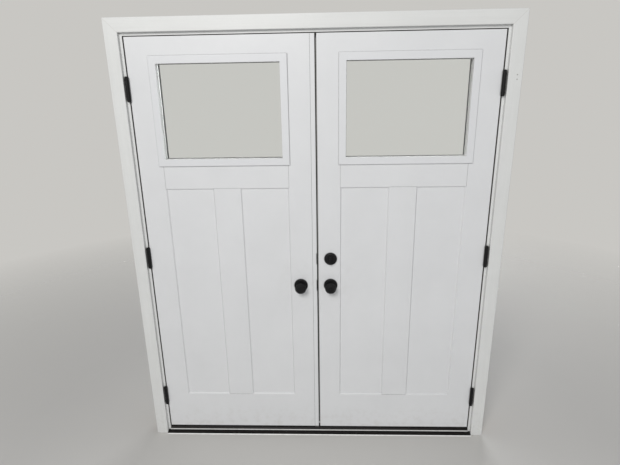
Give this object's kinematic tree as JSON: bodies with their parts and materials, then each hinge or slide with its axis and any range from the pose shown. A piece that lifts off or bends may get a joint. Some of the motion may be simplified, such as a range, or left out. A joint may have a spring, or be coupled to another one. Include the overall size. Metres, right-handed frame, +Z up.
{
  "type": "double front door with frame",
  "caption": "Pair of in-swing panelled entrance doors with glazed upper lights, hung in a rebated frame with casing and sill.",
  "frame": {"origin": "on the floor under the sill, at the middle of the doorway, in the plane of the closed leaves' room face", "axes": "+X to the right as seen from the room, +Y outdoors, +Z up"},
  "size_m": [1.79, 0.2141, 2.121],
  "materials": {
    "leaf_paint": "satin white paint over moulded skin",
    "frame_paint": "satin white paint on wood",
    "casing_paint": "satin white paint on wood",
    "light_frame_plastic": "satin white plastic",
    "glass": "clear",
    "spacer_steel": "satin",
    "seal_white": "matt white foam seal",
    "sweep_vinyl": "matt black vinyl",
    "sill_composite": "matt dark composite",
    "sill_aluminium": "satin mill finish",
    "sill_cap_dark": "matt dark",
    "nosing_dark": "dark bronze finish",
    "hardware_black": "matt black",
    "key_steel": "satin"
  },
  "bodies": {
    "frame": {"jamb_left": "frame_paint", "jamb_right": "frame_paint", "jamb_head": "frame_paint", "casing_left": "casing_paint", "casing_right": "casing_paint", "casing_head": "casing_paint", "brickmould_left": "frame_paint", "brickmould_right": "frame_paint", "brickmould_head": "frame_paint", "weatherstrip_left": "seal_white", "weatherstrip_right": "seal_white", "weatherstrip_head": "seal_white", "sill_base": "sill_composite", "sill_deck": "sill_aluminium", "sill_cap": "sill_cap_dark", "sill_nosing": "nosing_dark", "nosing_trim": "sill_aluminium", "jamb_hinge_plates": "hardware_black", "hinge_pins": "hardware_black"},
    "left_leaf": {"left_leaf": "leaf_paint", "left_light_frame_inside": "light_frame_plastic", "left_light_frame_outside": "light_frame_plastic", "left_glass_panes": "glass", "left_glass_spacer": "spacer_steel", "left_door_sweep": "sweep_vinyl", "left_hinge_plates": "hardware_black", "astragal": "leaf_paint", "astragal_seal": "sweep_vinyl", "latch_strike": "hardware_black", "deadbolt_strike": "hardware_black", "fixed_rose_inside": "hardware_black", "fixed_rose_outside": "hardware_black", "fixed_knob_inside": "hardware_black", "fixed_knob_outside": "hardware_black"},
    "right_leaf": {"right_leaf": "leaf_paint", "right_light_frame_inside": "light_frame_plastic", "right_light_frame_outside": "light_frame_plastic", "right_glass_panes": "glass", "right_glass_spacer": "spacer_steel", "right_door_sweep": "sweep_vinyl", "right_hinge_plates": "hardware_black", "latch_case": "hardware_black", "deadbolt_case": "hardware_black", "knob_rose_inside": "hardware_black", "knob_rose_outside": "hardware_black", "thumbturn_rose": "hardware_black", "deadbolt_collar": "hardware_black", "deadbolt_key_plug": "key_steel"},
    "knob_set": {"knob_inside": "hardware_black", "knob_outside": "hardware_black", "knob_spindle": "key_steel"},
    "knob_button": {"turn_button": "hardware_black"},
    "latch": {"latch_bolt": "key_steel"},
    "thumb_piece": {"thumbturn": "hardware_black"},
    "deadbolt": {"deadbolt_bolt": "key_steel"},
    "flush_bolt_top": {"flush_bolt_top": "key_steel"},
    "flush_bolt_bottom": {"flush_bolt_bottom": "key_steel"}
  },
  "joints": [
    {"name": "left_leaf_swing", "type": "hinge", "parent": "frame", "child": "left_leaf", "pos_m": [-0.8215, -0.0092, 1], "axis": [0, 0, -1], "range_deg": [0, 130]},
    {"name": "right_leaf_swing", "type": "hinge", "parent": "frame", "child": "right_leaf", "pos_m": [0.8215, -0.0092, 1], "axis": [0, 0, 1], "range_deg": [0, 130]},
    {"name": "knob_turn", "type": "hinge", "parent": "right_leaf", "child": "knob_set", "pos_m": [0.0738, 0, 0.884], "axis": [0, -1, 0], "range_deg": [0, 60]},
    {"name": "latch_slide", "type": "slide", "parent": "right_leaf", "child": "latch", "axis": [-1, 0, 0], "range_m": [0, 0.0127]},
    {"name": "knob_button_turn", "type": "hinge", "parent": "knob_set", "child": "knob_button", "pos_m": [0.0738, 0, 0.884], "axis": [0, -1, 0], "range_deg": [0, 90]},
    {"name": "thumb_piece_turn", "type": "hinge", "parent": "right_leaf", "child": "thumb_piece", "pos_m": [0.0738, 0, 1.024], "axis": [0, -1, 0], "range_deg": [0, 90]},
    {"name": "deadbolt_slide", "type": "slide", "parent": "right_leaf", "child": "deadbolt", "axis": [-1, 0, 0], "range_m": [0, 0.0254]},
    {"name": "flush_bolt_top_slide", "type": "slide", "parent": "left_leaf", "child": "flush_bolt_top", "axis": [0, 0, 1], "range_m": [0, 0.016]},
    {"name": "flush_bolt_bottom_slide", "type": "slide", "parent": "left_leaf", "child": "flush_bolt_bottom", "axis": [0, 0, -1], "range_m": [0, 0.016]}
  ],
  "couplings": [
    {"joint": "latch_slide", "follows": "knob_turn", "m_per_rad": 0.012128},
    {"joint": "deadbolt_slide", "follows": "thumb_piece_turn", "m_per_rad": 0.01617}
  ]
}
